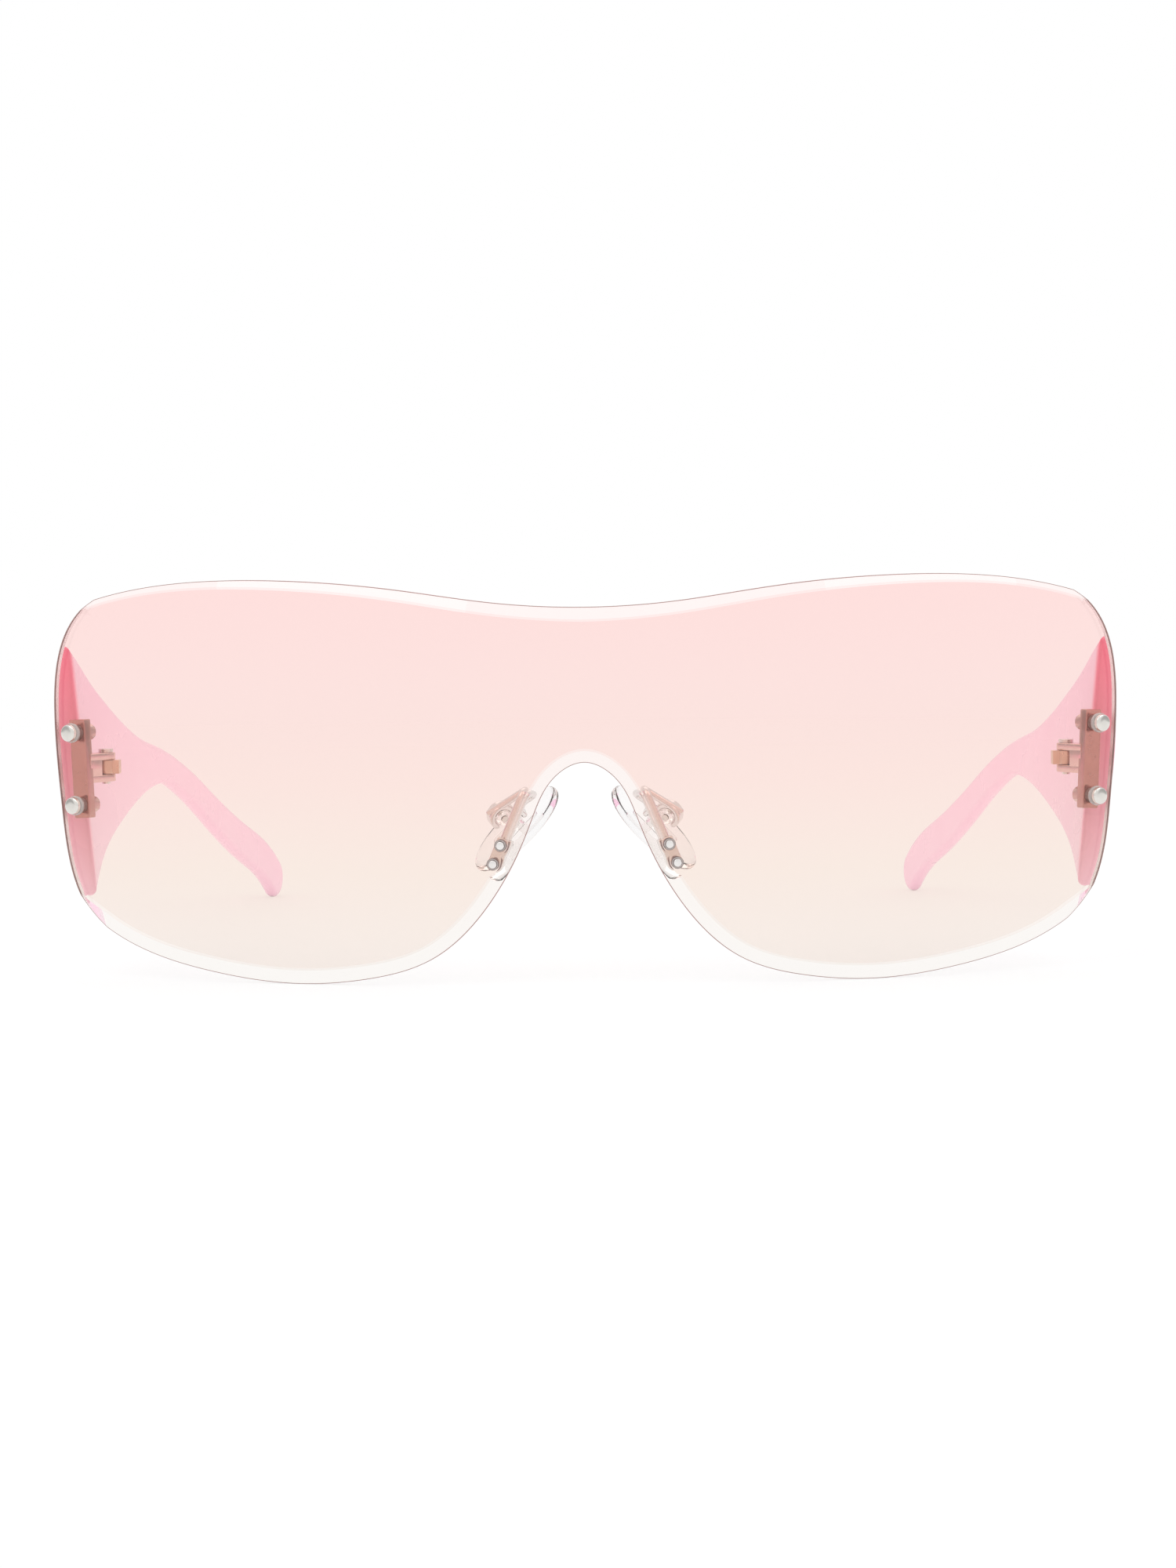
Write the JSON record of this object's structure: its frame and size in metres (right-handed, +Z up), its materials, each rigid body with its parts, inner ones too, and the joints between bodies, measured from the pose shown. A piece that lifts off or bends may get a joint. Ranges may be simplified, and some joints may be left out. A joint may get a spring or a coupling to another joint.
{
  "type": "shield sunglasses",
  "caption": "Rimless shield sunglasses: one bent, tinted lens with a nose notch, bolted hinge brackets, folding pink temples and rocking clear nose pads.",
  "frame": {"origin": "middle of the box that holds the open glasses, on the table that they stand on", "axes": "+Z up, +Y from the lens back along the temples, +X to the wearer's left"},
  "size_m": [0.147, 0.151, 0.0544],
  "materials": {
    "lens_tint": "polished",
    "pink_plastic": "gloss",
    "clear_plastic": "gloss",
    "clear_silicone": "satin",
    "silver_steel": "polished",
    "rose_metal": "satin",
    "rose_silver": "polished",
    "brass_leaf": "satin"
  },
  "bodies": {
    "front": {"shield_lens": "lens_tint", "bracket_left": "rose_metal", "bracket_bolts_left": "silver_steel", "bracket_bushings_left": "clear_plastic", "bracket_nuts_left": "rose_metal", "hinge_screw_left": "silver_steel", "nose_plate_left": "rose_silver", "lens_sleeves_left": "clear_plastic", "pad_arm_left": "rose_silver", "bracket_right": "rose_metal", "bracket_bolts_right": "silver_steel", "bracket_bushings_right": "clear_plastic", "bracket_nuts_right": "rose_metal", "hinge_screw_right": "silver_steel", "nose_plate_right": "rose_silver", "lens_sleeves_right": "clear_plastic", "pad_arm_right": "rose_silver"},
    "temple_left": {"temple_left": "pink_plastic", "hinge_leaf_left": "brass_leaf"},
    "temple_right": {"temple_right": "pink_plastic", "hinge_leaf_right": "brass_leaf"},
    "pad_left": {"nose_pad_left": "clear_silicone", "pad_insert_left": "clear_plastic", "pad_pin_left": "silver_steel"},
    "pad_right": {"nose_pad_right": "clear_silicone", "pad_insert_right": "clear_plastic", "pad_pin_right": "silver_steel"}
  },
  "joints": [
    {"name": "temple_left_fold", "type": "hinge", "parent": "front", "child": "temple_left", "pos_m": [0.06614, -0.04849, 0.0285], "axis": [0, 0, 1], "range_deg": [0, 86]},
    {"name": "temple_right_fold", "type": "hinge", "parent": "front", "child": "temple_right", "pos_m": [-0.06614, -0.04849, 0.0285], "axis": [0, 0, -1], "range_deg": [0, 80]},
    {"name": "pad_left_rock", "type": "hinge", "parent": "front", "child": "pad_left", "pos_m": [0.01116, -0.06757, 0.02246], "axis": [0.3851, 0.8387, 0.3851], "range_deg": [-8, 8]},
    {"name": "pad_right_rock", "type": "hinge", "parent": "front", "child": "pad_right", "pos_m": [-0.01116, -0.06757, 0.02246], "axis": [-0.3851, 0.8387, 0.3851], "range_deg": [-8, 8]}
  ]
}
